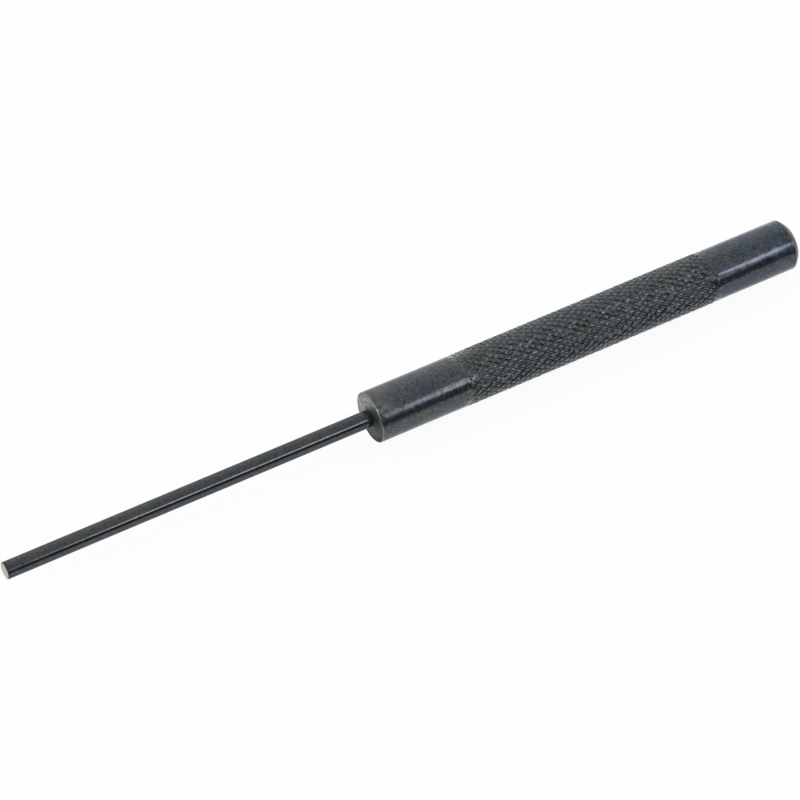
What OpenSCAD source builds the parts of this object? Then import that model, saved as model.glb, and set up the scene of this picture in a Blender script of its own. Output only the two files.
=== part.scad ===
// Parallel pin punch lying on its side: a knurled steel handle with a long
// straight drive pin pressed into a blind bore in its front shoulder.
// The punch points along X: the tip of the pin is at the low end of X and
// the struck end of the handle at the high end. The punch lies on the two
// lowest rows of the knurl's tips, which touch a height of zero.

/* [Handle] */
// Diameter of the plain bar
handle_d = 12; // [9:0.5:20]
// Length of the plain collar between the shoulder and the knurl
front_collar_len = 22; // [12:0.5:40]
// Length of the plain collar between the knurl and the struck end
rear_collar_len = 22; // [10:0.5:40]
// Size of the chamfer round the front shoulder
shoulder_chamfer = 0.3; // [0.1:0.05:1]
// Size of the chamfer round the struck end
struck_chamfer = 1.3; // [0.5:0.1:2]

/* [Knurl] */
// Length of the knurled grip
knurl_len = 66; // [30:1:100]
// Number of diamonds round the grip
knurl_count = 24; // [12:1:36]
// Length of one diamond along the grip, before whole diamonds are fitted in
diamond_len = 2.5; // [1.8:0.1:5]
// Height of the diamonds' tips over the plain bar
knurl_rise = 0.1; // [0.05:0.01:0.3]
// Depth of the grooves between the diamonds under the plain bar
knurl_depth = 0.35; // [0.1:0.01:0.6]

/* [Pin] */
// Diameter of the drive pin's shank
pin_d = 4; // [2:0.1:6]
// Length of the shank that stands out of the handle
shank_len = 90; // [40:1:120]
// Length of the seat that is pressed into the handle
seat_len = 20; // [8:0.5:30]
// How much thicker the seat is than the shank, so that the shank enters freely
seat_extra_d = 0.4; // [0.3:0.05:1]
// Size of the broken edge round the working tip
tip_chamfer = 0.1; // [0.05:0.05:0.4]
// Size of the lead chamfer on the hidden end of the pin
tail_chamfer = 0.4; // [0.1:0.05:0.8]

/* [Bore] */
// Gap between the pin and the wall of its bore, nothing for a press fit
seat_clearance = 0; // [0:0.01:0.05]
// Space left behind the pin at the bottom of the bore
bore_end_gap = 0.5; // [0.2:0.1:2]
// Full angle of the cone that the drill leaves at the bottom
drill_angle = 118; // [90:1:140]
// Size of the chamfer at the mouth of the bore
mouth_chamfer = 0.25; // [0.1:0.05:0.5]

/* [Hidden] */
$fn = 96;

// How far a cut runs past the face that it starts from
overrun = 1;
// How far the collars lap over the first and the last grooves
knurl_lap = 0.06;
// How far the ends of the knurl lie under the plain bar, out of the collars' skin
knurl_tuck = 0.02;

handle_r = handle_d / 2;
handle_len = front_collar_len + knurl_len + rear_collar_len;
tip_r = handle_r + knurl_rise;
groove_r = handle_r - knurl_depth;
knurl_end_r = handle_r - knurl_tuck;
shank_r = pin_d / 2;
seat_r = shank_r + seat_extra_d / 2;
bore_r = seat_r + seat_clearance;
bore_depth = seat_len + bore_end_gap;
drill_point_len = bore_r / tan(drill_angle / 2);

overall_len = shank_len + handle_len;
shoulder_x = shank_len - overall_len / 2;

// The knurl is a net of points: columns run along the grip, two to a
// diamond, and lines run round it, two to a diamond.
columns = 2 * knurl_count;
diamond_rows = max(1, round(knurl_len / diamond_len));
lines = 2 * diamond_rows;
line_step = knurl_len / lines;
column_angle = 360 / columns;

// The columns are turned half a step, so that two of them share the load
// and the punch has a small flat to lie on.
lying_angle = column_angle / 2;
lying_height = tip_r * cos(lying_angle);

// Grooves cross where column and line add up to an even number, and the
// points between them are the tips of the diamonds.
function is_crossing(column, line) = (column + line) % 2 == 0;
function net_radius(column, line) =
    line == 0 || line == lines ? knurl_end_r :
    is_crossing(column, line) ? groove_r : tip_r;
function net_point(column, line) =
    let (radius = net_radius(column, line), angle = lying_angle + column * column_angle)
    [radius * cos(angle), radius * sin(angle), line * line_step];
function net_index(column, line) = line * columns + column % columns;

// Two triangles fill the cell between four points of the net, and the edge
// that they share lies in a groove.
function cell_faces(column, line) =
    let (
        near = net_index(column, line),
        near_up = net_index(column, line + 1),
        far = net_index(column + 1, line),
        far_up = net_index(column + 1, line + 1)
    )
    is_crossing(column, line) ?
        [[near, near_up, far_up], [near, far_up, far]] :
        [[near, near_up, far], [far, near_up, far_up]];

// The knurled grip, from the end of the front collar upwards
module knurled_grip() {
    points = [for (line = [0:lines], column = [0:columns - 1]) net_point(column, line)];
    skin = [for (line = [0:lines - 1], column = [0:columns - 1])
            each cell_faces(column, line)];
    bottom = [for (column = [0:columns - 1]) net_index(column, 0)];
    top = [for (column = [columns - 1:-1:0]) net_index(column, lines)];
    polyhedron(points = points, faces = concat([bottom], skin, [top]));
}

// A round collar whose first edge is chamfered, as long as it is asked to be
module chamfered_collar(length, chamfer) {
    rotate_extrude()
        polygon([
            [0, 0],
            [handle_r - chamfer, 0],
            [handle_r, chamfer],
            [handle_r, length],
            [0, length]
        ]);
}

// The blind bore that holds the pin, with its mouth in the shoulder
module pin_bore() {
    translate([0, 0, -overrun])
        cylinder(r = bore_r, h = bore_depth + overrun);
    translate([0, 0, bore_depth])
        cylinder(r1 = bore_r, r2 = 0, h = drill_point_len);
    translate([0, 0, -overrun])
        cylinder(
            r1 = bore_r + mouth_chamfer + overrun,
            r2 = bore_r,
            h = mouth_chamfer + overrun
        );
}

// Lays a piece that was drawn upright along the punch, with its foot at the shoulder
module along_punch() {
    translate([shoulder_x, 0, lying_height])
        rotate([0, 90, 0])
            children();
}

module handle() {
    color([0.19, 0.20, 0.21])
        along_punch()
            difference() {
                union() {
                    chamfered_collar(front_collar_len + knurl_lap, shoulder_chamfer);
                    translate([0, 0, front_collar_len])
                        knurled_grip();
                    translate([0, 0, handle_len])
                        mirror([0, 0, 1])
                            chamfered_collar(rear_collar_len + knurl_lap, struck_chamfer);
                }
                pin_bore();
            }
}

// The shank ends at the shoulder, and swells to the seat inside the bore's mouth
module drive_pin() {
    color([0.13, 0.13, 0.14])
        along_punch()
            rotate_extrude()
                polygon([
                    [0, -shank_len],
                    [shank_r - tip_chamfer, -shank_len],
                    [shank_r, tip_chamfer - shank_len],
                    [shank_r, 0],
                    [seat_r, mouth_chamfer],
                    [seat_r, seat_len - tail_chamfer],
                    [seat_r - tail_chamfer, seat_len],
                    [0, seat_len]
                ]);
}

handle();
drive_pin();
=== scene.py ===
import math

import bmesh
import bpy
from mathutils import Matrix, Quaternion, Vector


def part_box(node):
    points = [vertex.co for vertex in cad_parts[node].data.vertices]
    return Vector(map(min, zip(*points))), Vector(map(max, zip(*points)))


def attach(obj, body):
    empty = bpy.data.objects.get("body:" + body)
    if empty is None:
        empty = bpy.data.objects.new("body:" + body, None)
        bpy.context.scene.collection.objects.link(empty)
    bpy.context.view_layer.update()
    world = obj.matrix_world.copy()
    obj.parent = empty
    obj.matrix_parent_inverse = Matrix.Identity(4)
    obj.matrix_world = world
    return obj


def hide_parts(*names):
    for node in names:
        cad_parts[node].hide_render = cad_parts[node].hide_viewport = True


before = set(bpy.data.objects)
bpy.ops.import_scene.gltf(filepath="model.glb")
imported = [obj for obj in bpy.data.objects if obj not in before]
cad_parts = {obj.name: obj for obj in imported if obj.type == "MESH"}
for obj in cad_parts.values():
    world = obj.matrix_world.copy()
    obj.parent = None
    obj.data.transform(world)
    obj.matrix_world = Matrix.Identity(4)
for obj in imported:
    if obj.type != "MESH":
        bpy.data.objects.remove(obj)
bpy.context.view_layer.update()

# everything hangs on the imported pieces: the punch lies along X, tip at the low end
mm = 0.001
handleLow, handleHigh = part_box("handle")
axisHeight = (handleLow.z + handleHigh.z) / 2
shoulderX = handleLow.x
struckX = handleHigh.x
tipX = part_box("drive_pin")[0].x
handleLength = (struckX - shoulderX) / mm
shankLength = (shoulderX - tipX) / mm
slack = 0.01 * mm                      # what counts as the same place when parts are picked
hairline = 0.001 * mm                  # the same, for the two ends of one edge
creaseAngle = math.radians(32)         # edges sharper than this stay sharp in the shading
print("frame: handle", round(handleLength, 2), "mm, shank", round(shankLength, 2), "mm")


# small helpers for working as by hand

def deselectAll():
    if bpy.context.object and bpy.context.object.mode != "OBJECT":
        bpy.ops.object.mode_set(mode="OBJECT")
    bpy.ops.object.select_all(action="DESELECT")


def makeActive(piece):
    deselectAll()
    bpy.context.view_layer.objects.active = piece
    piece.select_set(True)


def startEditing(piece):
    makeActive(piece)
    bpy.ops.object.mode_set(mode="EDIT")
    bpy.ops.mesh.select_mode(type="EDGE")
    bpy.ops.mesh.select_all(action="DESELECT")


def pick(piece, kind, wanted):
    # selects the vertices or edges that pass the test, and nothing else
    bpy.ops.mesh.select_mode(type=kind)
    bpy.ops.mesh.select_all(action="DESELECT")
    mesh = bmesh.from_edit_mesh(piece.data)
    for part in mesh.verts if kind == "VERT" else mesh.edges:
        if wanted(part):
            part.select_set(True)
    mesh.select_flush_mode()
    bmesh.update_edit_mesh(piece.data)


def applyModifier(piece, kind, **settings):
    makeActive(piece)
    modifier = piece.modifiers.new(kind.title(), kind)
    for name, value in settings.items():
        setattr(modifier, name, value)
    bpy.ops.object.modifier_apply(modifier=modifier.name)


def applyPlace(piece):
    makeActive(piece)
    bpy.ops.object.transform_apply(location=True, rotation=True, scale=True)


def pullRings(rings, fromRadius, fromHeight):
    # pulls the selected open ring through (radius, height) steps, like a turned profile
    radius, height = fromRadius, fromHeight
    for newRadius, newHeight in rings:
        rise = newHeight - height
        bpy.ops.mesh.extrude_region_move(TRANSFORM_OT_translate={"value": (0, 0, rise)})
        share = newRadius / radius
        bpy.ops.transform.resize(value=(share, share, 1), center_override=(0, 0, newHeight))
        radius, height = newRadius, newHeight


def ringEdge(edge, radius, height):
    return all(
        abs(v.co.z - height) < slack and abs(v.co.xy.length - radius) < slack
        for v in edge.verts
    )


def layAlongPunch(piece):
    # pieces are drawn upright with the shoulder at zero, and then laid down
    piece.rotation_euler = (0, math.pi / 2, 0)
    piece.location = (shoulderX, 0, axisHeight)
    applyPlace(piece)
    bpy.ops.object.shade_smooth_by_angle(angle=creaseAngle)


# the handle

handleSizes = {
    "barRadius": 6.0 * mm,
    "frontCollar": 22 * mm,
    "knurlLength": 66 * mm,
    "rearCollar": 22 * mm,
    "shoulderChamfer": 0.15 * mm,
    "struckChamfer": 1.3 * mm,
    "edgeRounding": 0.05 * mm,
    "edgeSteps": 2,
    "boreRadius": 2.2 * mm,
    "boreMouth": 0.25 * mm,
    "boreDepth": 20.5 * mm,
    "drillPoint": 1.3 * mm,
    "drillTip": 0.05,                  # where the drill's cone closes, as a share of the bore
    "shoulderRing": 0.8,               # rings on the two flat faces, as shares of the bar
    "struckRings": (0.5, 0.25, 0.02),
    "mouthRing": 1.3,                  # a ring round the bore's mouth, as a share of it
}
knurl = {
    "diamondsRound": 24,
    "diamondRows": 26,
    "grooveRadius": 5.87 * mm,
    "rowDrift": math.radians(39),      # the rows wind this far round over the grip
    "grooveFloor": 0.03 * mm,          # half the width of the groove's flat floor
    "steps": [                         # run and rise of the flanks, the crest's rounding and the cap
        (0.25 * mm, 0.175 * mm),
        (0.13 * mm, 0.045 * mm),
        (0.10 * mm, 0.012 * mm),
    ],
    "halfMade": (6.5 * mm, 1.6 * mm),  # how far the front and the rear are only half rolled in
    "halfMadeSide": (-0.63, 0.78),     # the side of the bar where the front is so the furthest
    "halfMadeLeast": 0.12,             # the share of it that even the other side has
    "halfMadeGain": 1.3,               # how much sooner it is soft all the way
    "smoothing": (0.6, 7),             # strength and rounds
    "runOut": 0.45 * mm,               # where the first grooves climb to the plain bar
    "unevenness": 0.075 * mm,          # the diamonds are never quite alike
    "unevennessSize": 0.75 * mm,
}
gripStart = handleSizes["frontCollar"]
gripEnd = gripStart + handleSizes["knurlLength"]


def isGridEdge(edge):
    # edges that run along or round the band, which the diamonds are drawn across
    a, b = (v.co for v in edge.verts)
    return abs(a.z - b.z) < hairline or (a.xy - b.xy).length < hairline


def makeKnurl():
    rowLength = handleSizes["knurlLength"] / knurl["diamondRows"]
    rows = knurl["diamondRows"] + 2    # one more at each end, to be cut off
    deselectAll()
    bpy.ops.mesh.primitive_cylinder_add(
        vertices=knurl["diamondsRound"], radius=knurl["grooveRadius"],
        depth=rows * rowLength, end_fill_type="NOTHING",
        location=(0, 0, (gripStart + gripEnd) / 2))
    piece = bpy.context.object
    piece.name = "knurled_handle"
    applyPlace(piece)

    # one cell for each diamond, with a point in the middle of each cell
    startEditing(piece)
    pick(piece, "EDGE", lambda e: abs(e.verts[0].co.z - e.verts[1].co.z) > rowLength)
    bpy.ops.mesh.subdivide(number_cuts=rows - 1)
    bpy.ops.mesh.select_all(action="SELECT")
    bpy.ops.mesh.poke()
    pick(piece, "EDGE", lambda e: not e.is_boundary and isGridEdge(e))
    bpy.ops.mesh.dissolve_edges(use_verts=False)
    pick(piece, "VERT", lambda v: v.co.xy.length < knurl["grooveRadius"] - slack)
    share = 1 / math.cos(math.pi / knurl["diamondsRound"])
    bpy.ops.transform.resize(value=(share, share, 1))

    # every diamond rises from the grooves round it
    bpy.ops.mesh.select_mode(type="FACE")
    bpy.ops.mesh.select_all(action="SELECT")
    for run, rise in [(knurl["grooveFloor"], 0), *knurl["steps"]]:
        bpy.ops.mesh.inset(thickness=run, depth=rise, use_individual=True)

    # the tool starts and stops in the middle of a row
    for height, outwards in ((gripStart, -1), (gripEnd, 1)):
        bpy.ops.mesh.select_all(action="SELECT")
        bpy.ops.mesh.bisect(plane_co=(0, 0, height), plane_no=(0, 0, outwards),
                            clear_outer=True, threshold=2 * hairline)
    applyModifier(piece, "SIMPLE_DEFORM", deform_method="TWIST", deform_axis="Z",
                  angle=knurl["rowDrift"])
    clouds = bpy.data.textures.new("knurlClouds", "CLOUDS")
    clouds.noise_scale = knurl["unevennessSize"]
    applyModifier(piece, "DISPLACE", texture=clouds, strength=knurl["unevenness"], mid_level=0.5)
    return piece


def endRing(piece, height, away):
    # takes the knurl's open end at this height out to the plain bar's round skin
    reach = knurl["runOut"]
    newHeight = height + away * reach
    startEditing(piece)
    pick(piece, "EDGE", lambda e: e.is_boundary and abs(e.verts[0].co.z - height) < reach)
    bpy.ops.mesh.extrude_region_move(TRANSFORM_OT_translate={"value": (0, 0, away * reach)})
    bpy.ops.transform.tosphere(value=1, center_override=(0, 0, newHeight))
    mesh = bmesh.from_edit_mesh(piece.data)
    ring = [v for v in mesh.verts if v.select]
    radius = sum(v.co.xy.length for v in ring) / len(ring)
    share = handleSizes["barRadius"] / radius
    bpy.ops.transform.resize(value=(share, share, 1), center_override=(0, 0, newHeight))
    return newHeight


def softenEnds(piece):
    # the rollers bite less at the two ends, and not as deep on one side as on the other
    deselectAll()
    ends = piece.vertex_groups.new(name="ends")
    front, rear = knurl["halfMade"]
    sideX, sideY = knurl["halfMadeSide"]
    for v in piece.data.vertices:
        if gripStart - slack < v.co.z < gripEnd + slack:
            side = 0.5 + 0.5 * (sideY * v.co.y + sideX * v.co.x) / v.co.xy.length
            frontReach = front * (knurl["halfMadeLeast"] + side)
            share = max(1 - (v.co.z - gripStart) / frontReach, 1 - (gripEnd - v.co.z) / rear)
            if share > 0:
                ends.add([v.index], min(1, knurl["halfMadeGain"] * share), "REPLACE")
    strength, rounds = knurl["smoothing"]
    applyModifier(piece, "SMOOTH", factor=strength, iterations=rounds, vertex_group="ends")


def makeHandle():
    s = handleSizes
    bar = s["barRadius"]
    top = gripEnd + s["rearCollar"]
    mouth = s["boreRadius"] + s["boreMouth"]
    piece = makeKnurl()

    # front collar, shoulder and bore
    height = endRing(piece, gripStart, -1)
    pullRings([
        (bar, gripStart / 2),
        (bar, s["shoulderChamfer"]),
        (bar - s["shoulderChamfer"], 0),
        (bar * s["shoulderRing"], 0),
        (mouth * s["mouthRing"], 0),
        (mouth, 0),
        (s["boreRadius"], s["boreMouth"]),
        (s["boreRadius"], s["boreDepth"]),
        (s["boreRadius"] * s["drillTip"], s["boreDepth"] + s["drillPoint"]),
    ], bar, height)
    bpy.ops.mesh.merge(type="CENTER")

    # rear collar and struck end
    height = endRing(piece, gripEnd, 1)
    pullRings([
        (bar, (gripEnd + top) / 2),
        (bar, top - s["struckChamfer"]),
        (bar - s["struckChamfer"], top),
        *((bar * share, top) for share in s["struckRings"]),
    ], bar, height)
    bpy.ops.mesh.merge(type="CENTER")

    # break the turned edges
    turned = [
        (bar, s["shoulderChamfer"]), (bar - s["shoulderChamfer"], 0),
        (bar, top - s["struckChamfer"]), (bar - s["struckChamfer"], top),
    ]
    pick(piece, "EDGE", lambda e: any(ringEdge(e, r, h) for r, h in turned))
    bpy.ops.mesh.bevel(offset=s["edgeRounding"], segments=s["edgeSteps"], affect="EDGES")
    bpy.ops.mesh.select_all(action="SELECT")
    bpy.ops.mesh.normals_make_consistent(inside=False)
    softenEnds(piece)
    layAlongPunch(piece)
    print("handle:", len(piece.data.polygons), "faces")
    return piece


# the drive pin

pinSizes = {
    "segments": 96,
    "shankRadius": 2.0 * mm,
    "seatRadius": 2.2 * mm,
    "seatLength": 20 * mm,
    "tipChamfer": 0.1 * mm,
    "tailChamfer": 0.4 * mm,
    "shankRings": (0.33, 0.67),        # rings along the shank, as shares of its length
    "tipRings": (0.6, 0.3, 0.03),      # rings on the two end faces, as shares of the radius
    "tailRings": (0.4, 0.03),
}


def makePin():
    s = pinSizes
    shank = s["shankRadius"]
    seat = s["seatRadius"]
    seatEnd = s["seatLength"]
    foot = tipX - shoulderX
    deselectAll()
    bpy.ops.mesh.primitive_circle_add(vertices=s["segments"], radius=shank, location=(0, 0, 0))
    piece = bpy.context.object
    piece.name = "hardened_pin"

    # shoulder to tip
    startEditing(piece)
    bpy.ops.mesh.select_all(action="SELECT")
    pullRings([
        *((shank, foot * share) for share in s["shankRings"]),
        (shank, foot + s["tipChamfer"]),
        (shank - s["tipChamfer"], foot),
        *((shank * share, foot) for share in s["tipRings"]),
    ], shank, 0)
    bpy.ops.mesh.merge(type="CENTER")

    # shoulder to the seat's hidden end
    pick(piece, "EDGE", lambda e: e.is_boundary)
    pullRings([
        (seat, handleSizes["boreMouth"]),
        (seat, seatEnd - s["tailChamfer"]),
        (seat - s["tailChamfer"], seatEnd),
        *((seat * share, seatEnd) for share in s["tailRings"]),
    ], shank, 0)
    bpy.ops.mesh.merge(type="CENTER")
    bpy.ops.mesh.select_all(action="SELECT")
    bpy.ops.mesh.normals_make_consistent(inside=False)
    layAlongPunch(piece)
    print("pin:", len(piece.data.polygons), "faces")
    return piece


handle = makeHandle()
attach(handle, "root")
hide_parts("handle")

pin = makePin()
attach(pin, "root")
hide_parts("drive_pin")


# materials: millimetres from the middle of the shoulder, so that sizes read like the real ones

def fill(tree, node, inputs):
    # gives each input its value, or links the socket that feeds it
    for name, value in inputs.items():
        if isinstance(value, bpy.types.NodeSocket):
            tree.links.new(value, node.inputs[name])
        else:
            node.inputs[name].default_value = value


def placeNode(node, at):
    # at is a column and a row of the node editor
    columnWidth, rowHeight = 200, 180
    node.location = (at[0] * columnWidth, -at[1] * rowHeight)


def addNode(tree, kind, at, inputs, **settings):
    node = tree.nodes.new(kind)
    placeNode(node, at)
    for name, value in settings.items():
        setattr(node, name, value)
    fill(tree, node, inputs)
    return node


def maths(tree, at, operation, *values):
    inputs = dict(enumerate(values))
    return addNode(tree, "ShaderNodeMath", at, inputs, operation=operation).outputs[0]


def vectorMaths(tree, at, operation, *values):
    node = addNode(tree, "ShaderNodeVectorMath", at, dict(enumerate(values)), operation=operation)
    isNumber = operation in ("DOT_PRODUCT", "LENGTH", "DISTANCE")
    return node.outputs["Value" if isNumber else "Vector"]


def scaleVector(tree, at, vector, share):
    node = addNode(tree, "ShaderNodeVectorMath", at, {0: vector, "Scale": share}, operation="SCALE")
    return node.outputs["Vector"]


def splitVector(tree, at, vector):
    return addNode(tree, "ShaderNodeSeparateXYZ", at, {0: vector}).outputs


def noise(tree, at, place, scale, detail, roughness, output="Fac"):
    inputs = {"Vector": place, "Scale": scale, "Detail": detail, "Roughness": roughness}
    return addNode(tree, "ShaderNodeTexNoise", at, inputs).outputs[output]


def remap(tree, at, value, low, high, toLow=0, toHigh=1, smooth=False):
    # low becomes toLow and high becomes toHigh, and nothing goes past them
    inputs = {"Value": value, "From Min": low, "From Max": high, "To Min": toLow, "To Max": toHigh}
    kind = "SMOOTHSTEP" if smooth else "LINEAR"
    return addNode(tree, "ShaderNodeMapRange", at, inputs, interpolation_type=kind).outputs["Result"]


def mixColour(tree, at, share, first, second):
    inputs = {"Factor": share, "A": first, "B": second}
    return addNode(tree, "ShaderNodeMix", at, inputs, data_type="RGBA").outputs["Result"]


def startGroup(name, inputs, outputs):
    # each input has its usual value and each output a sample, which also tell their kinds
    tree = bpy.data.node_groups.new(name, "ShaderNodeTree")
    for sockets, side in ((inputs, "INPUT"), (outputs, "OUTPUT")):
        for label, value in sockets.items():
            kind = "NodeSocketFloat"
            if isinstance(value, tuple):
                kind = "NodeSocketColor" if len(value) == 4 else "NodeSocketVector"
            socket = tree.interface.new_socket(label, in_out=side, socket_type=kind)
            socket.default_value = value
    return tree, tree.nodes.new("NodeGroupInput").outputs, tree.nodes.new("NodeGroupOutput")


effects = {
    # the shared effects' noises: scale per millimetre, detail and roughness
    "fineMarks": (1, 3, 0.65),
    "broadMarks": (1, 2, 0.5),
    "clouds": (1.5, 2.5, 0.6),
    "speckBend": (4, 2, 0.5),
    "stainOutline": (0.9, 5, 0.65),
    "wearOutline": (1.3, 5, 0.65),
    "scratches": (1, 1, 0.5),
    "scratchBreaks": (0.45, 3, 0.5),
    "patches": (4, 0.6),               # detail and roughness: each finish has its own scale
    # what is made of them
    "noiseRange": (0.3, 0.7),          # nearly all of a noise's values lie between these
    "noiseMiddle": 0.5,
    "broadStretch": (0.22, 1.6, 1.6),  # broad marks are wider along the bar, shorter round it
    "warmFrom": (0.52, 0.66),          # where in its noise a patch starts, and is full
    "violetFrom": (0.54, 0.68),
    "violetMove": (37, 11, 23),        # the violet patches come from another part of the noise
    "speckBendReach": 0.08,
    "stainReach": (0.2, 1.8),          # the least and the most of its size that it reaches
    "wearReach": (0, 1.6),
    "scratchFrom": (0.5, 0.62),
}


def makePunchSpace():
    # where a point of the punch is: along the bar from the shoulder, and out from its axis
    tree, entry, leave = startGroup(
        "punchSpace", {"Object": (0, 0, 0)}, {"Point": (0, 0, 0), "Along": 0, "Radius": 0})
    fromShoulder = vectorMaths(
        tree, (1, 0), "SUBTRACT", entry["Object"], (shoulderX, 0, axisHeight))
    point = scaleVector(tree, (2, 0), fromShoulder, 1 / mm)
    across = vectorMaths(tree, (3, 1), "MULTIPLY", point, (0, 1, 1))
    fill(tree, leave, {
        "Point": point, "Along": splitVector(tree, (3, 0), point)["X"],
        "Radius": vectorMaths(tree, (4, 1), "LENGTH", across)})
    return tree


def makeTurnedMarks():
    # lines that a lathe tool and an emery strip leave: each runs round the bar, at one place
    tree, entry, leave = startGroup(
        "turnedMarks", {"Point": (0, 0, 0), "Place": 0, "Lines": 3, "Around": 0.12},
        {"Fine": 0, "Broad": 0})
    around = splitVector(tree, (2, 0), scaleVector(tree, (1, 0), entry["Point"], entry["Around"]))
    line = maths(tree, (1, 1), "MULTIPLY", entry["Place"], entry["Lines"])
    join = addNode(tree, "ShaderNodeCombineXYZ", (3, 0), {
        "X": line, "Y": around["Y"], "Z": around["Z"]}).outputs[0]
    wide = vectorMaths(tree, (4, 1), "MULTIPLY", join, effects["broadStretch"])
    fill(tree, leave, {
        "Fine": noise(tree, (4, 0), join, *effects["fineMarks"]),
        "Broad": noise(tree, (5, 1), wide, *effects["broadMarks"])})
    return tree


def makeOxideTint():
    # black oxide is never one colour: cold grey with warm and violet patches, cloudy all over
    grey = (0.06, 0.06, 0.06, 1)
    tree, entry, leave = startGroup(
        "oxideTint",
        {"Point": (0, 0, 0), "Main": grey, "Far": grey, "Warm": grey, "Violet": grey,
         "Patch Size": 0.2, "Patches": 0.5, "Clouding": 0.2},
        {"Color": grey, "Clouds": 0})
    point = entry["Point"]
    along = remap(tree, (2, -2), splitVector(tree, (1, -2), point)["X"], 0, handleLength)
    colour = mixColour(tree, (3, -2), along, entry["Main"], entry["Far"])
    moved = vectorMaths(tree, (0.5, 1), "ADD", point, effects["violetMove"])
    kinds = (("Warm", point, effects["warmFrom"]), ("Violet", moved, effects["violetFrom"]))
    for i, (name, place, shown) in enumerate(kinds):
        patch = noise(tree, (1, i), place, entry["Patch Size"], *effects["patches"])
        mask = remap(tree, (2, i), patch, *shown)
        share = maths(tree, (3, i), "MULTIPLY", mask, entry["Patches"])
        colour = mixColour(tree, (4 + i, 0), share, colour, entry[name])
    cloud = noise(tree, (1, 2), point, *effects["clouds"])
    clouds = remap(tree, (2, 2), cloud, *effects["noiseRange"], -1)
    level = maths(tree, (3, 2), "MULTIPLY_ADD", clouds, entry["Clouding"], 1)
    fill(tree, leave, {"Color": scaleVector(tree, (6, 0), colour, level), "Clouds": clouds})
    return tree


def makeSpecks():
    # small pits and rust spots, in some cells only, each of its own size
    tree, entry, leave = startGroup(
        "specks", {"Point": (0, 0, 0), "Per Millimetre": 1, "Size": 0.2, "Kept": 0.3}, {"Mask": 0})
    bend = noise(tree, (0, 1), entry["Point"], *effects["speckBend"], output="Color")
    bendReach = (effects["speckBendReach"],) * 3
    bent = vectorMaths(tree, (1, 1), "MULTIPLY_ADD", bend, bendReach, entry["Point"])
    cells = addNode(tree, "ShaderNodeTexVoronoi", (2, 0), {
        "Vector": bent, "Scale": entry["Per Millimetre"], "Randomness": 1}).outputs
    chance = splitVector(tree, (3, 1), cells["Color"])
    kept = maths(tree, (4, 1), "LESS_THAN", chance["X"], entry["Kept"])
    reach = maths(tree, (4, 2), "MULTIPLY", chance["Y"], entry["Size"])
    spot = remap(tree, (5, 0), cells["Distance"], 0, reach, 1, 0, smooth=True)
    fill(tree, leave, {"Mask": maths(tree, (6, 0), "MULTIPLY", spot, kept)})
    return tree


def makeStain():
    # one patch with a ragged outline, round a place given in millimetres
    tree, entry, leave = startGroup(
        "stain", {"Point": (0, 0, 0), "Centre": (0, 0, 0), "Size": 1}, {"Mask": 0})
    distance = vectorMaths(tree, (1, 0), "DISTANCE", entry["Point"], entry["Centre"])
    cloud = noise(tree, (1, 1), entry["Point"], *effects["stainOutline"])
    ragged = remap(tree, (2, 1), cloud, *effects["noiseRange"], *effects["stainReach"])
    reach = maths(tree, (3, 1), "MULTIPLY", entry["Size"], ragged)
    fill(tree, leave, {"Mask": remap(tree, (4, 0), distance, 0, reach, 1, 0, smooth=True)})
    return tree


def makeEdgeWear():
    # a ragged worn band along one turned edge, given by its place and radius
    tree, entry, leave = startGroup(
        "edgeWear",
        {"Point": (0, 0, 0), "Along": 0, "Radius": 0, "Edge Along": 0, "Edge Radius": 6,
         "Width": 0.3, "Raggedness": 0.6},
        {"Mask": 0})
    gap = addNode(tree, "ShaderNodeCombineXYZ", (2, 0), {
        "X": maths(tree, (1, 0), "SUBTRACT", entry["Along"], entry["Edge Along"]),
        "Y": maths(tree, (1, 1), "SUBTRACT", entry["Radius"], entry["Edge Radius"])})
    distance = vectorMaths(tree, (3, 0), "LENGTH", gap.outputs[0])
    cloud = noise(tree, (1, 2), entry["Point"], *effects["wearOutline"])
    ragged = remap(tree, (2, 2), cloud, *effects["noiseRange"], *effects["wearReach"])
    share = addNode(tree, "ShaderNodeMix", (3, 2), {
        "Factor": entry["Raggedness"], "A": 1, "B": ragged}).outputs["Result"]
    reach = maths(tree, (4, 1), "MULTIPLY", entry["Width"], share)
    fill(tree, leave, {"Mask": remap(tree, (5, 0), distance, 0, reach, 1, 0, smooth=True)})
    return tree


def makeScratches():
    # long thin scratches from a drawer full of tools, in one main direction
    tree, entry, leave = startGroup(
        "scratches",
        {"Point": (0, 0, 0), "Turn": (0, 0, 0), "Spread": (0.15, 3, 3), "Thickness": 0.01},
        {"Mask": 0})
    turned = addNode(tree, "ShaderNodeVectorRotate", (1, 0), {
        "Vector": entry["Point"], "Rotation": entry["Turn"]}, rotation_type="EULER_XYZ")
    stretched = vectorMaths(tree, (2, 0), "MULTIPLY", turned.outputs[0], entry["Spread"])
    cloud = noise(tree, (3, 0), stretched, *effects["scratches"])
    # a scratch is the thin line where this noise passes through its middle value
    offMiddle = maths(tree, (4, 0), "SUBTRACT", cloud, effects["noiseMiddle"])
    distance = maths(tree, (5, 0), "ABSOLUTE", offMiddle)
    thin = remap(tree, (6, 0), distance, 0, entry["Thickness"], 1, 0)
    breaks = noise(tree, (3, 1), entry["Point"], *effects["scratchBreaks"])
    shown = remap(tree, (4, 1), breaks, *effects["scratchFrom"])
    fill(tree, leave, {"Mask": maths(tree, (7, 0), "MULTIPLY", thin, shown)})
    return tree


punchSpace = makePunchSpace()
turnedMarks = makeTurnedMarks()
oxideTint = makeOxideTint()
specks = makeSpecks()
stain = makeStain()
edgeWear = makeEdgeWear()
scratches = makeScratches()
print("shared effects:", len(bpy.data.node_groups))


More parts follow.
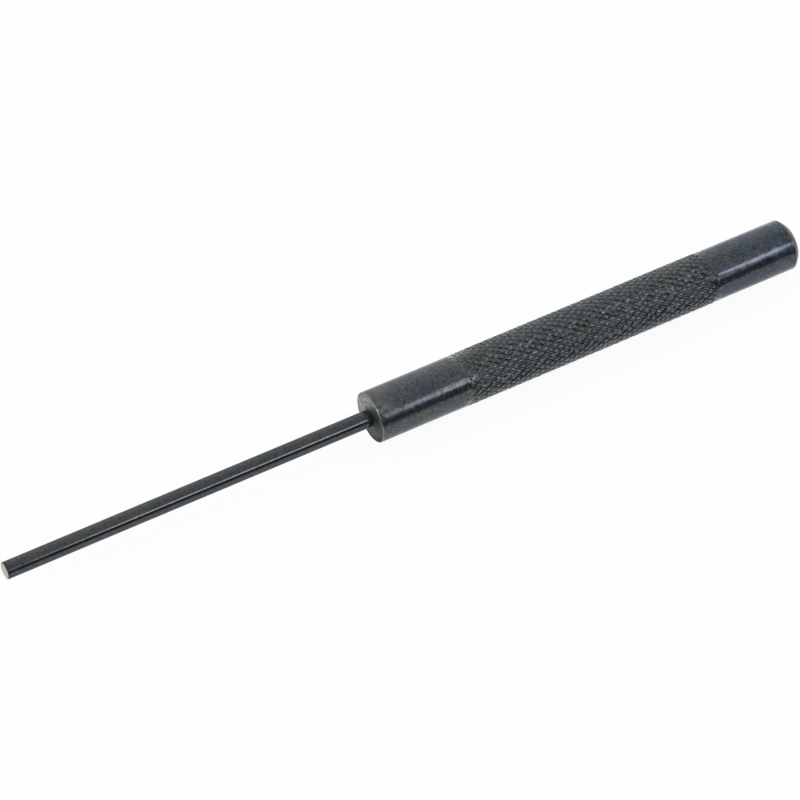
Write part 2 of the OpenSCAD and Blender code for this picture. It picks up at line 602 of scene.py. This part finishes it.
def startMaterial(name):
    material = bpy.data.materials.new(name)
    material.use_nodes = True
    tree = material.node_tree
    shader = tree.nodes["Principled BSDF"]
    placeNode(shader, (12, 0))
    where = addNode(tree, "ShaderNodeTexCoord", (-2, 0), {})
    space = addNode(tree, "ShaderNodeGroup", (-1, 0), {}, node_tree=punchSpace)
    fill(tree, space, {"Object": where.outputs["Object"]})
    return material, tree, shader, space.outputs


def useGroup(tree, group, at, space, values):
    # a group takes where it is from the punch's space, and the rest from the finish
    node = addNode(tree, "ShaderNodeGroup", at, {}, node_tree=group)
    where = {name: space[name] for name in ("Point", "Along", "Radius") if name in node.inputs}
    fill(tree, node, {**where, **values})
    return node.outputs


def useTint(tree, space, f):
    # a colour that the finish doesn't name is its main one
    names = ("main", "far", "warm", "violet")
    colours = {name.title(): (*f.get(name, f["main"]), 1) for name in names}
    return useGroup(tree, oxideTint, (1, 0), space, {**colours, **f["patches"]})


def useMarks(tree, space, f, place):
    # the lines follow each other along this place, and keep to one value of it
    return useGroup(tree, turnedMarks, (1, 2), space, {"Place": place, **f["marks"]})


def useMasks(tree, space, f, kinds):
    # each mask has its effect here, and its values under the same name in the finish
    masks = {}
    for i, (name, group) in enumerate(kinds.items()):
        masks[name] = useGroup(tree, group, (1, 3 + i), space, f[name])["Mask"]
    return masks


def layOver(tree, at, colour, layers):
    # each layer is (mask, fixed colour, how much of it at most)
    for i, (mask, paint, most) in enumerate(layers):
        share = maths(tree, (at[0] + i, at[1] + 1), "MULTIPLY", mask, most)
        colour = mixColour(tree, (at[0] + i, at[1]), share, colour, (*paint, 1))
    return colour


def addStains(tree, at, space, colour, stains):
    # each stain is (centre in millimetres, size, colour, strength)
    layers = []
    for i, (centre, size, paint, strength) in enumerate(stains):
        place = (at[0] + i, at[1] - 3)
        spot = useGroup(tree, stain, place, space, {"Centre": centre, "Size": size})
        layers.append((spot["Mask"], paint, strength))
    return layOver(tree, at, colour, layers)


def addUp(tree, at, parts, weights, start=0.0):
    # start plus each named part times its weight
    total = start
    for i, (name, weight) in enumerate(weights.items()):
        place = (at[0] + i * 0.5, at[1])
        total = maths(tree, place, "MULTIPLY_ADD", parts[name], weight, total)
    return total


hazeTint = (0.95, 0.98, 1.0, 1)


def finishShader(tree, shader, f, base, parts):
    # lays the finish's layers over the base colour, and adds up what its parts do to the rest
    layers = [(parts[name], f[paint], most) for name, paint, most in f["layers"]]
    bump = addNode(tree, "ShaderNodeBump", (10, 3), {
        "Strength": 1, "Distance": f["bump"],
        "Height": addUp(tree, (4, 5), parts, f["relief"])})
    fill(tree, shader, {
        "Base Color": layOver(tree, (4, 0), base, layers),
        "Roughness": addUp(tree, (4, 3), parts, f["rougher"], f["roughness"]),
        "Metallic": addUp(tree, (4, 7), parts, f["metal"], 1.0),
        "Specular Tint": (f["edge"], f["edge"], f["edge"], 1),
        "Normal": bump.outputs["Normal"]})
    # dust and old oil on the skin keep it grey to its very edge when it is seen edge-on
    if "haze" in f:
        fill(tree, shader, {
            "Sheen Weight": f["haze"], "Sheen Roughness": f["hazeRoughness"],
            "Sheen Tint": hazeTint})


towardsUpper = (0, 0.779, 0.627)       # the side of the bar that faces up and away

barFinish = {
    "main": (0.066, 0.078, 0.082),
    "far": (0.049, 0.061, 0.076),
    "warm": (0.088, 0.086, 0.068),
    "violet": (0.080, 0.072, 0.084),
    "bare": (0.30, 0.31, 0.31),
    "paintedGlint": (0.80, 0.81, 0.80),       # painted highlight: where the light glints on the sharp rim
    "rust": (0.13, 0.085, 0.06),
    "tan": (0.20, 0.175, 0.14),
    "shade": (0.042, 0.046, 0.050),    # painted shade on the struck end's chamfer
    "patches": {"Patch Size": 0.13, "Patches": 0.4, "Clouding": 0.45},
    "marks": {"Lines": 3.2, "Around": 0.16},
    "lean": (1, 0.45, 0.36),           # the marks wind a little as they go round
    "grain": (1.4, 2, 0.5),            # a noise's scale, detail and roughness
    "pits": {"Per Millimetre": 0.9, "Size": 0.34, "Kept": 0.06},
    "nicks": {"Per Millimetre": 1.5, "Size": 0.32, "Kept": 0.3},
    "hair": {"Turn": (0, 0, 0.5), "Thickness": 0.012},
    "rim": {"Edge Along": 0.08, "Edge Radius": 5.95, "Width": 0.22},
    "tail": {"Edge Along": handleLength - 1.35, "Edge Radius": 6.0, "Width": 0.22},
    # where the painted highlight on the sharp rim sits
    "rimGlintPlace": {"Centre": (0.05, -3.3, 4.95), "Size": 1.7},
    "chamferReach": (1.3, 1.2),        # how far from the struck end it starts, and is full
    "upperReach": (-3.5, -0.5),        # over the axis, where the chamfer's painted shade starts on its upper side, and is full
    "lowerShare": 0.2,                 # how much of the painted shade the lower side has, next to the upper
    "layers": [                        # which part, which colour, and how much of it at most
        ("hair", "bare", 0.25), ("rim", "bare", 0.6), ("paintedRimGlint", "paintedGlint", 0.9),
        ("chamferPaintedShade", "shade", 0.9), ("tail", "tan", 0.5), ("pits", "rust", 0.5),
        ("nicks", "bare", 0.18),
    ],
    "roughness": 0.11,                 # before the parts add theirs
    "rougher": {
        "fine": 0.10, "broad": 0.12, "clouds": 0.03, "pits": 0.3, "chamfer": 0.2, "along": -0.06,
    },
    "bump": 0.012 * mm,                # what a relief of 1 stands for
    "relief": {
        "fine": 0.7, "broad": 3.2, "grain": 1.15, "hair": -0.6, "pits": -1.5, "nicks": -0.8,
    },
    "metal": {},
    "edge": 0.62,                      # how much it mirrors where it is seen edge-on
    "haze": 0.7,
    "hazeRoughness": 0.35,
    "stains": [
        ((2.7, 2.1, 5.6), 4.2, (0.100, 0.098, 0.070), 0.7),
        ((4.8, -0.3, 6.0), 2.6, (0.078, 0.064, 0.074), 0.6),
        ((11.0, -4.9, 3.4), 3.0, (0.074, 0.076, 0.104), 0.5),
        # painted light along the highlight's line: darker here to dim it, lighter in the next two to
        # carry it to the rim
        ((12.5, -3.5, 4.9), 4.8, (0.050, 0.055, 0.066), 0.8),
        ((2.4, -3.5, 4.9), 3.4, (0.136, 0.138, 0.156), 0.85),
        ((0.9, -3.5, 4.9), 2.0, (0.190, 0.190, 0.210), 0.7),
        ((15.9, -0.9, 5.9), 0.5, (0.120, 0.070, 0.080), 0.8),
        ((17.0, -5.8, -1.5), 3.0, (0.062, 0.084, 0.078), 0.7),
        # painted highlight: lighter patches along the rear collar's highlight make it brighter and
        # wider
        ((92.0, -4.8, 3.6), 3.3, (0.076, 0.090, 0.114), 0.9),
        ((98.0, -4.8, 3.6), 3.3, (0.080, 0.088, 0.112), 0.9),
        ((104.0, -4.8, 3.6), 3.0, (0.076, 0.090, 0.110), 0.9),
        ((101.0, -3.8, -4.6), 3.0, (0.070, 0.090, 0.096), 0.7),
    ],
}


def makeBarMaterial():
    f = barFinish
    material, tree, shader, space = startMaterial("oxideBar")
    tint = useTint(tree, space, f)
    lean = vectorMaths(tree, (0, 2), "DOT_PRODUCT", space["Point"], f["lean"])
    marks = useMarks(tree, space, f, lean)
    masks = useMasks(tree, space, f, {
        "pits": specks, "nicks": specks, "hair": scratches, "rim": edgeWear, "tail": edgeWear,
        "rimGlintPlace": stain})

    # painted shade: the struck end's chamfer is painted darkest on its upper side
    start, full = (handleLength - reach for reach in f["chamferReach"])
    chamfer = remap(tree, (1, 9), space["Along"], start, full)
    height = vectorMaths(tree, (1, 10), "DOT_PRODUCT", space["Point"], towardsUpper)
    upper = remap(tree, (2, 10), height, *f["upperReach"], f["lowerShare"])

    base = addStains(tree, (-2, -4), space, tint["Color"], f["stains"])
    finishShader(tree, shader, f, base, {
        **masks, "fine": marks["Fine"], "broad": marks["Broad"], "clouds": tint["Clouds"],
        "chamfer": chamfer,
        "chamferPaintedShade": maths(tree, (3, 10), "MULTIPLY", chamfer, upper),
        # painted highlight: a glint laid on the rim only where the light catches it
        "paintedRimGlint": maths(tree, (3, 8), "MULTIPLY", masks["rimGlintPlace"], masks["rim"]),
        "along": remap(tree, (1, 11), space["Along"], 0, handleLength),
        "grain": noise(tree, (1, 12), space["Point"], *f["grain"])})
    return material


knurlFinish = {
    "main": (0.071, 0.084, 0.083),
    "far": (0.062, 0.074, 0.083),
    "warm": barFinish["warm"],
    "violet": barFinish["violet"],
    # dark colour in the grooves: dirt, and on the lower side painted shade
    "dirtAndShade": (0.014, 0.015, 0.015),
    "worn": (0.10, 0.11, 0.112),
    "patches": {"Patch Size": 0.11, "Patches": 0.3, "Clouding": 0.6},
    "grit": (3.5, 5, 0.7),             # a noise's scale, detail and roughness
    "grooveReach": (5.85, 5.94),       # the radius up to which dirt fills them, and where it ends
    "crestReach": (6.08, 6.13),        # the radius from which hands wear them, and where fully
    "cleanFront": (0.5, 4.0),          # the dirt starts and is full so far into the grip
    "cleanRear": (0, 1.5),
    "lowerReach": (0.5, -2.5),         # over the axis, where the lower side starts and is full
    "dirtAndShadeBySide": (0.4, 1.2),           # how much of the dark groove colour the upper and the lower side have; the extra below is painted shade
    "layers": [("grooveDirtAndShade", "dirtAndShade", 0.85), ("crest", "worn", 0.3)],
    "roughness": 0.02,
    "rougher": {"grit": 0.25, "packed": 0.15, "crest": 0.16},
    "bump": 0.010 * mm,
    "relief": {"grit": 3.0},
    "metal": {},
    "edge": 1.0,
    "haze": 0.6,
    "hazeRoughness": 0.33,
    "stains": [
        ((45.2, -4.4, 4.1), 1.1, (0.088, 0.068, 0.050), 0.85),
        ((53.0, -2.5, 5.5), 2.6, (0.060, 0.056, 0.036), 0.7),
        ((56.5, -4.0, 4.5), 3.2, (0.074, 0.070, 0.098), 0.6),
        ((25.5, 2.0, 5.7), 2.4, (0.110, 0.096, 0.076), 0.6),
        ((30.0, -5.0, 3.2), 3.0, (0.072, 0.070, 0.094), 0.5),
    ],
}


def makeKnurlMaterial():
    f = knurlFinish
    material, tree, shader, space = startMaterial("oxideKnurl")
    tint = useTint(tree, space, f)

    # dirt packs the grooves, less at the two ends; more of it on the lower side is painted shade
    groove = remap(tree, (1, 3), space["Radius"], *f["grooveReach"], 1, 0)
    frontStart, frontFull = (gripStart / mm + reach for reach in f["cleanFront"])
    rearStart, rearFull = (gripEnd / mm - reach for reach in f["cleanRear"])
    fromFront = remap(tree, (1, 4), space["Along"], frontStart, frontFull)
    fromRear = remap(tree, (1, 5), space["Along"], rearStart, rearFull)
    inside = maths(tree, (2, 4), "MULTIPLY", fromFront, fromRear)
    packed = maths(tree, (3, 3), "MULTIPLY", groove, inside)
    height = vectorMaths(tree, (1, 6), "DOT_PRODUCT", space["Point"], towardsUpper)
    lower = remap(tree, (2, 6), height, *f["lowerReach"], *f["dirtAndShadeBySide"])

    base = addStains(tree, (-2, -4), space, tint["Color"], f["stains"])
    finishShader(tree, shader, f, base, {
        "packed": packed,
        "grooveDirtAndShade": maths(tree, (3, 6), "MULTIPLY", packed, lower),
        "crest": remap(tree, (1, 7), space["Radius"], *f["crestReach"]),
        "grit": noise(tree, (1, 2), space["Point"], *f["grit"])})
    return material


faceFinish = {
    "main": (0.325, 0.34, 0.336),
    "far": (0.10, 0.11, 0.11),
    "warm": (0.22, 0.205, 0.185),
    "violet": (0.21, 0.21, 0.21),
    "low": (0.082, 0.097, 0.088),      # painted shade on the lower side, also the colour of the dark turned lines
    "root": (0.028, 0.030, 0.026),     # dirt and painted shade round where the pin goes in, also the dark rim's colour
    "patches": {"Patch Size": 0.35, "Patches": 0.6, "Clouding": 0.35},
    "marks": {"Lines": 3.2, "Around": 0.1},
    "dirtAndShade": {"Centre": (0, -2.0, 0.9), "Size": 4.6},
    "lowReach": (-2.5, 2.0),           # over the axis, up to where it is full, and where it ends
    "lineFrom": (0.42, 0.62),          # how strong a turned mark is to look dark
    "corner": (0, -0.20, -0.98),       # towards the rounded-over part of the edge, painted dark as shade
    "cornerReach": (2.2, 3.6),         # that way from the axis, where it starts and is full
    "cornerRadius": (4.5, 5.2),
    "layers": [
        ("lowSideShade", "low", 1.0), ("line", "low", 0.5), ("dirtAndShade", "root", 0.8),
        ("rimPaintedShade", "root", 0.95),
    ],
    "roughness": 0.38,
    "rougher": {"fine": 0.2, "broad": 0.15},
    "bump": 0.012 * mm,
    "relief": {"fine": 1.0, "broad": 1.0},
    "metal": {},
    "edge": 0.72,
}


def makeFaceMaterial():
    # the shoulder and the struck face were faced on a lathe, so their marks are rings
    f = faceFinish
    material, tree, shader, space = startMaterial("facedSteel")
    tint = useTint(tree, space, f)
    marks = useMarks(tree, space, f, space["Radius"])
    # dirt and painted shade round the pin's root
    masks = useMasks(tree, space, f, {"dirtAndShade": stain})
    height = vectorMaths(tree, (1, 5), "DOT_PRODUCT", space["Point"], towardsUpper)
    # painted shade: a dark band on the rim's rounded-over lower part
    depth = vectorMaths(tree, (1, 7), "DOT_PRODUCT", space["Point"], f["corner"])
    corner = remap(tree, (2, 7), depth, *f["cornerReach"])
    outside = remap(tree, (2, 8), space["Radius"], *f["cornerRadius"])
    finishShader(tree, shader, f, tint["Color"], {
        **masks, "fine": marks["Fine"], "broad": marks["Broad"],
        "lowSideShade": remap(tree, (2, 5), height, *f["lowReach"], 1, 0),
        "line": remap(tree, (2, 6), marks["Fine"], *f["lineFrom"]),
        "rimPaintedShade": maths(tree, (3, 7), "MULTIPLY", corner, outside)})
    return material


pinFinish = {
    "main": (0.057, 0.064, 0.067),
    "warm": (0.074, 0.074, 0.066),
    "violet": (0.072, 0.066, 0.074),
    "bare": (0.40, 0.39, 0.37),
    "rust": (0.045, 0.047, 0.026),
    "dirtAndShade": (0.034, 0.033, 0.029),
    "patches": {"Patch Size": 0.16, "Patches": 0.7, "Clouding": 0.3},
    "marks": {"Lines": 2.2, "Around": 0.3},
    "hair": {"Turn": (0, 0, 0.2), "Thickness": 0.012},
    "tip": {"Edge Along": -shankLength, "Edge Radius": 2.0, "Width": 1.9, "Raggedness": 0.8},
    # dirt and painted shade where the pin meets the shoulder
    "root": {"Edge Along": 0, "Edge Radius": 2.0, "Width": 2.6, "Raggedness": 1.0},
    "layers": [("hair", "bare", 0.2), ("tip", "rust", 0.75), ("root", "dirtAndShade", 0.85)],
    "roughness": 0.02,
    "rougher": {"fine": 0.03, "clouds": 0.02, "tip": 0.25, "root": 0.3},
    "bump": 0.006 * mm,
    "relief": {"fine": 0.25, "broad": 0.7, "hair": -0.5},
    "metal": {"root": -0.85},          # dirt and painted shade sit in the corner, and they are no metal
    "edge": 0.55,
    "haze": 0.22,
    "hazeRoughness": 0.33,
}


def makePinMaterial():
    f = pinFinish
    material, tree, shader, space = startMaterial("oxidePin")
    tint = useTint(tree, space, f)
    marks = useMarks(tree, space, f, space["Along"])
    masks = useMasks(tree, space, f, {"hair": scratches, "tip": edgeWear, "root": edgeWear})
    finishShader(tree, shader, f, tint["Color"], {
        **masks, "fine": marks["Fine"], "broad": marks["Broad"], "clouds": tint["Clouds"]})
    return material


tipFinish = {
    "main": (0.30, 0.315, 0.275),
    "warm": (0.22, 0.22, 0.17),
    "patches": {"Patch Size": 0.6, "Patches": 0.5, "Clouding": 0.12},
    "marks": {"Lines": 7.0, "Around": 0.3},
    "layers": [],
    "roughness": 0.29,
    "rougher": {"fine": 0.15},
    "bump": 0.004 * mm,
    "relief": {"fine": 1.0},
    "metal": {},
    "edge": 1.0,
}


def makeTipMaterial():
    # ground square, so its marks are rings too
    f = tipFinish
    material, tree, shader, space = startMaterial("groundTip")
    tint = useTint(tree, space, f)
    marks = useMarks(tree, space, f, space["Radius"])
    finishShader(tree, shader, f, tint["Color"], {"fine": marks["Fine"]})
    return material


def dressPiece(piece, materials, choose):
    piece.data.materials.clear()
    for material in materials:
        piece.data.materials.append(material)
    for face in piece.data.polygons:
        face.material_index = choose(face)


squareOn = 0.98                        # how straight along the punch an end face points


def handleFinish(face):
    # the bar is 0, the knurl 1, and the two flat end faces 2
    x = face.center.x
    if abs(face.normal.x) > squareOn and (x < shoulderX + slack or x > struckX - slack):
        return 2
    reach = knurl["runOut"]
    return 1 if gripStart - reach < x - shoulderX < gripEnd + reach else 0


def pinFaceFinish(face):
    # the shank and the seat are 0, and the working face 1
    return 1 if face.center.x < tipX + slack else 0


dressPiece(handle, [makeBarMaterial(), makeKnurlMaterial(), makeFaceMaterial()], handleFinish)
dressPiece(pin, [makePinMaterial(), makeTipMaterial()], pinFaceFinish)
print("materials:", len(bpy.data.materials))


# floor, light and camera

floorSizes = {
    "size": 6.0,
    "colour": (0.9, 0.9, 0.9),
    "paperShare": 0.94,                # how much of it is seen and mirrored as glowing paper
    "paperGlowReach": (0.045, 0.09),         # painted light: mirrored, the paper glows fully up to the first of these
    "farPaperGlow": 0.12,                # and glows only this much past the second, painted dark
    "closest": 0.008,                  # painted light: it glows brightest from here to the punch and past it
    "closePaperGlow": 1.3,
}


def makeFloor():
    deselectAll()
    bpy.ops.mesh.primitive_plane_add(size=floorSizes["size"], location=(0, 0, 0))
    floor = bpy.context.object
    floor.name = "pale_floor"
    material = bpy.data.materials.new("paleFloor")
    material.use_nodes = True
    tree = material.node_tree
    tree.nodes.clear()
    ray = addNode(tree, "ShaderNodeLightPath", (0, 0), {}).outputs
    where = addNode(tree, "ShaderNodeNewGeometry", (0, 3), {})
    y = splitVector(tree, (1, 3), where.outputs["Position"])["Y"]
    # painted light seen in reflections: the paper glows more near the punch and little far off
    near, far = floorSizes["paperGlowReach"]
    paper = remap(tree, (2, 3), y, -far, -near, floorSizes["farPaperGlow"], 1, smooth=True)
    close = remap(tree, (2, 4), y, -near, -floorSizes["closest"], 1, floorSizes["closePaperGlow"])
    level = addNode(tree, "ShaderNodeMix", (4, 3), {
        "Factor": ray["Is Camera Ray"], "A": maths(tree, (3, 3), "MULTIPLY", paper, close), "B": 1})
    glow = addNode(tree, "ShaderNodeEmission", (5, 3), {
        "Color": (1, 1, 1, 1), "Strength": level.outputs["Result"]})
    diffuse = addNode(tree, "ShaderNodeBsdfDiffuse", (5, 1), {"Color": (*floorSizes["colour"], 1)})
    either = maths(tree, (1, 0), "MAXIMUM", ray["Is Camera Ray"], ray["Is Glossy Ray"])
    share = maths(tree, (2, 0), "MULTIPLY", either, floorSizes["paperShare"])
    mix = addNode(tree, "ShaderNodeMixShader", (6, 0), {
        "Fac": share, 1: diffuse.outputs[0], 2: glow.outputs[0]})
    addNode(tree, "ShaderNodeOutputMaterial", (7, 0), {"Surface": mix.outputs[0]})
    floor.data.materials.append(material)


studio = {
    # brightness round the punch, in degrees from the near horizon over the top to the far one
    "sky": [(0, 0.85), (70, 0.87), (105, 0.95), (130, 1.2), (150, 1.4), (180, 1.25)],
    "below": 0.9,
    # what is left where the unlit side of the room shows, a cold grey
    "dark": (0.055, 0.080, 0.125),
    "bandShare": 0.88,
    # unlit spots: direction, degrees out to where it is darkest and where it ends, and share
    "darkSpots": [
        (Vector((-0.28, -0.745, 0.60)), 21, 30, 1.0),
        (Vector((-0.04, -0.66, 0.75)), 6, 14, 0.75),
    ],
    "horizonReach": (17, 26),          # degrees over the near horizon
    "horizonEnd": (0.5, 0.75),         # and it ends between these, as the X of a direction
    "strength": 2,                     # the colours hold half of each level, to stay under 1
}


def makeWorld():
    world = bpy.data.worlds.new("studio")
    bpy.context.scene.world = world
    world.use_nodes = True
    tree = world.node_tree
    tree.nodes.clear()
    strength = studio["strength"]
    where = addNode(tree, "ShaderNodeTexCoord", (0, 0), {}).outputs["Generated"]
    split = splitVector(tree, (1, 0), where)
    near = maths(tree, (2, 0), "MULTIPLY", split["Y"], -1)
    angle = maths(tree, (3, 0), "ARCTAN2", split["Z"], near)
    turn = maths(tree, (4, 0), "DIVIDE", angle, math.pi)
    ramp = addNode(tree, "ShaderNodeValToRGB", (5, 0), {"Fac": turn})
    ramp.color_ramp.interpolation = "EASE"
    stops = ramp.color_ramp.elements
    ready = len(stops)
    for i, (degrees, level) in enumerate(studio["sky"]):
        stop = stops[i] if i < ready else stops.new(degrees / 180)
        stop.position = degrees / 180
        stop.color = (level / strength, level / strength, level / strength, 1)

    # the unlit side of the room: low over the near horizon, and in spots
    low, high = (math.radians(a) for a in studio["horizonReach"])
    band = remap(tree, (4, 4), angle, low, high, 1, 0, smooth=True)
    end = remap(tree, (4, 5), split["X"], *studio["horizonEnd"], 1, 0, smooth=True)
    horizon = maths(tree, (5, 4), "MULTIPLY", band, end)
    unlit = maths(tree, (5.5, 4), "MULTIPLY", horizon, studio["bandShare"])
    for i, (direction, inner, outer, share) in enumerate(studio["darkSpots"]):
        towards = vectorMaths(
            tree, (4, 6 + 2 * i), "DOT_PRODUCT", where, direction.normalized())
        most, least = (math.cos(math.radians(a)) for a in (inner, outer))
        spot = remap(tree, (5, 6 + 2 * i), towards, least, most, 0, share, smooth=True)
        unlit = maths(tree, (6, 3 + i), "MAXIMUM", unlit, spot)
    dark = (*(level / strength for level in studio["dark"]), 1)
    dim = mixColour(tree, (7, 0), unlit, ramp.outputs["Color"], dark)
    above = maths(tree, (5, 1), "GREATER_THAN", split["Z"], 0)
    under = studio["below"] / strength
    sky = mixColour(tree, (8, 0), above, (under, under, under, 1), dim)
    light = addNode(tree, "ShaderNodeBackground", (9, 0), {"Color": sky, "Strength": strength})
    white = addNode(tree, "ShaderNodeBackground", (9, 1), {"Color": (1, 1, 1, 1), "Strength": 1})
    ray = addNode(tree, "ShaderNodeLightPath", (8, 2), {})
    mix = addNode(tree, "ShaderNodeMixShader", (9.5, 0), {
        "Fac": ray.outputs["Is Camera Ray"], 1: light.outputs[0], 2: white.outputs[0]})
    addNode(tree, "ShaderNodeOutputWorld", (10, 0), {"Surface": mix.outputs[0]})


softbox = {
    "towards": Vector((0.45, -0.728, 0.545)),
    "distance": 1.5,
    "width": 0.8,
    "height": 0.325,
    "roll": math.radians(-2),
    "power": 3.25,
    "colour": (0.93, 0.92, 1.0),
}


def makeSoftbox():
    data = bpy.data.lights.new("softbox", "AREA")
    data.shape = "RECTANGLE"
    data.size = softbox["width"]
    data.size_y = softbox["height"]
    data.energy = softbox["power"]
    data.color = softbox["colour"]
    light = bpy.data.objects.new("softbox", data)
    bpy.context.scene.collection.objects.link(light)
    place = softbox["towards"].normalized() * softbox["distance"]
    light.location = place + Vector((0, 0, axisHeight))
    turn = place.to_track_quat("Z", "Y") @ Quaternion((0, 0, 1), softbox["roll"])
    light.rotation_euler = turn.to_euler()
    light.visible_camera = False


cameraSizes = {
    "turn": math.radians(29.73),       # how far the punch's axis turns from the picture's right
    "elevation": math.radians(47.17),
    "distance": 973.3 * mm,            # to the plane through the shoulder's centre
    "right": -6.59 * mm,               # where the shoulder's centre lies in the view
    "down": 3.92 * mm,
    "lens": 198,
    "sensor": 36,
    "clip": (0.05, 20),
}


def makeCamera():
    c = cameraSizes
    right = Vector((math.cos(c["turn"]), -math.sin(c["turn"]), 0))
    ahead = Vector((math.sin(c["turn"]), math.cos(c["turn"]), 0))
    forward = ahead * math.cos(c["elevation"]) + Vector((0, 0, -math.sin(c["elevation"])))
    up = ahead * math.sin(c["elevation"]) + Vector((0, 0, math.cos(c["elevation"])))
    data = bpy.data.cameras.new("camera")
    data.lens = c["lens"]
    data.sensor_width = c["sensor"]
    data.clip_start, data.clip_end = c["clip"]
    camera = bpy.data.objects.new("camera", data)
    bpy.context.scene.collection.objects.link(camera)
    shoulder = Vector((shoulderX, 0, axisHeight))
    camera.location = shoulder - right * c["right"] + up * c["down"] - forward * c["distance"]
    camera.rotation_euler = (-forward).to_track_quat("Z", "Y").to_euler()
    bpy.context.scene.camera = camera


makeFloor()
makeWorld()
makeSoftbox()
makeCamera()
bpy.context.scene.view_settings.view_transform = "Standard"
print("stage: floor, studio, softbox and camera")
